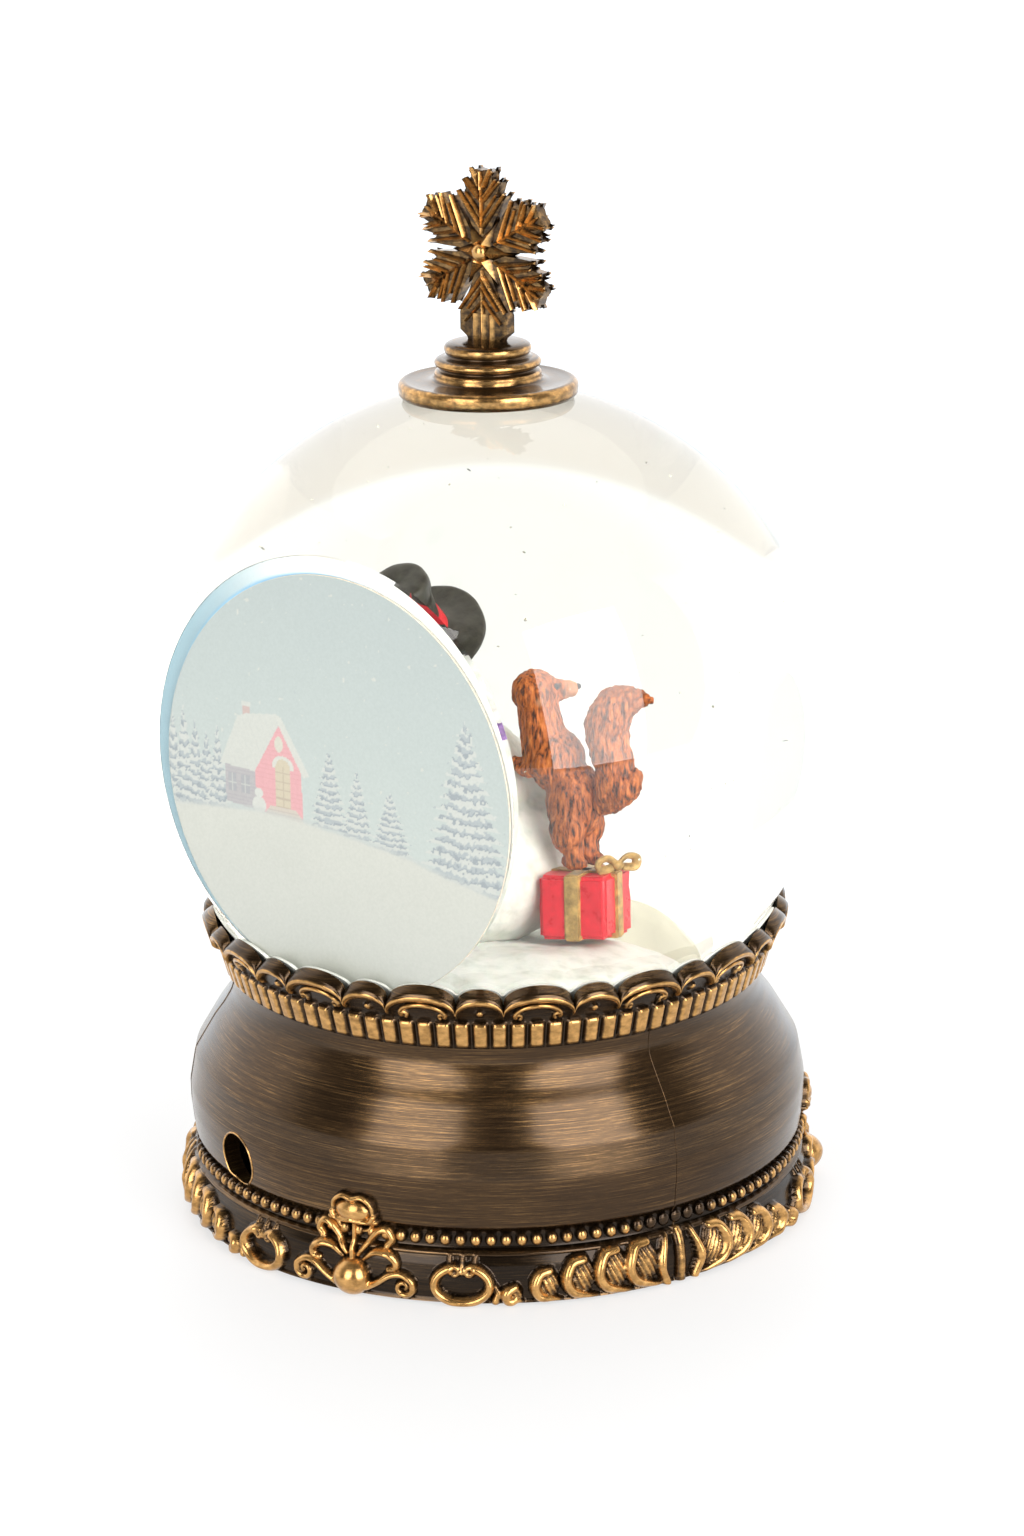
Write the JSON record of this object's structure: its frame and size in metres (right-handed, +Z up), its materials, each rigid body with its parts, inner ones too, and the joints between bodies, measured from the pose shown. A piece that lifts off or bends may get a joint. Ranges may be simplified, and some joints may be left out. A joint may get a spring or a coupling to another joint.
{
  "type": "snow globe",
  "caption": "Glass water ball with winter figures and a flat picture window, on a round ornamented base with a light, a stirring motor and a battery box.",
  "frame": {"origin": "centre of the underside of the feet, on the surface that the globe stands on", "axes": "+Z up along the axis of the ball and the base; the figures face -Y, and the flat picture window faces +Y"},
  "size_m": [0.0996, 0.0988, 0.1552],
  "materials": {
    "antique_bronze": "satin",
    "globe_glass": "polished",
    "water": "gloss",
    "picture_film": "satin",
    "snow_white": "satin",
    "hat_black": "satin",
    "gift_red": "gloss",
    "gold_paint": "satin",
    "squirrel_brown": "satin",
    "black_plastic": "matte",
    "white_plastic": "satin",
    "black_rubber": "matte",
    "white_sealant": "satin",
    "steel": "satin",
    "magnet_grey": "matte",
    "cell_wrap": "gloss",
    "board_green": "satin",
    "led_clear": "gloss",
    "wire_red": "satin",
    "wire_black": "satin"
  },
  "bodies": {
    "base": {"adaptor_socket": "black_plastic", "backdrop_film": "picture_film", "base_shell": "antique_bronze", "battery_1": "cell_wrap", "battery_2": "cell_wrap", "battery_3": "cell_wrap", "battery_box": "black_plastic", "battery_contact_negative": "steel", "battery_contact_positive": "steel", "battery_link_left": "steel", "battery_link_right": "steel", "battery_wire_black": "wire_black", "battery_wire_red": "wire_red", "board_screw_1": "steel", "board_screw_2": "steel", "board_screw_3": "steel", "bottom_plate": "black_plastic", "circuit_board": "board_green", "finial_saucer": "antique_bronze", "gift_bow": "gold_paint", "gift_box": "gift_red", "glass_globe": "globe_glass", "globe_gasket": "white_sealant", "impeller_pin": "steel", "led_1": "led_clear", "led_2": "led_clear", "led_3": "led_clear", "liquid": "water", "motor_can": "steel", "motor_mount": "black_plastic", "motor_wire_black": "wire_black", "motor_wire_red": "wire_red", "mount_screw_1": "steel", "mount_screw_2": "steel", "plate_screw_1": "steel", "plate_screw_2": "steel", "plate_screw_3": "steel", "rubber_foot_1": "black_rubber", "rubber_foot_2": "black_rubber", "rubber_foot_3": "black_rubber", "rubber_foot_4": "black_rubber", "snow_mound": "snow_white", "snowflake": "antique_bronze", "snowman": "snow_white", "socket_wire_black": "wire_black", "socket_wire_red": "wire_red", "squirrel": "squirrel_brown", "squirrel_tail": "squirrel_brown", "stopper": "black_rubber", "switch_body": "black_plastic", "top_hat": "hat_black"},
    "motor_rotor": {"motor_shaft": "steel", "drive_magnet": "magnet_grey"},
    "stirrer": {"impeller": "white_plastic", "impeller_magnet": "magnet_grey"},
    "switch_slider": {"switch_slider": "white_plastic"},
    "battery_door": {"battery_door": "black_plastic", "battery_door_screw": "steel"}
  },
  "joints": [
    {"name": "motor_spin", "type": "hinge", "parent": "base", "child": "motor_rotor", "pos_m": [0, 0, 0.0264], "axis": [0, 0, 1], "continuous": true},
    {"name": "stirrer_spin", "type": "hinge", "parent": "base", "child": "stirrer", "pos_m": [0, 0, 0.034], "axis": [0, 0, 1], "continuous": true},
    {"name": "switch_slide", "type": "slide", "parent": "base", "child": "switch_slider", "axis": [1, 0, 0], "range_m": [0, 0.0026]},
    {"name": "door_hinge", "type": "hinge", "parent": "base", "child": "battery_door", "pos_m": [-0.0243, 0, 0.002], "axis": [0, 1, 0], "range_deg": [0, 80]}
  ],
  "couplings": [
    {"joint": "stirrer_spin", "follows": "motor_spin", "ratio": 1}
  ]
}
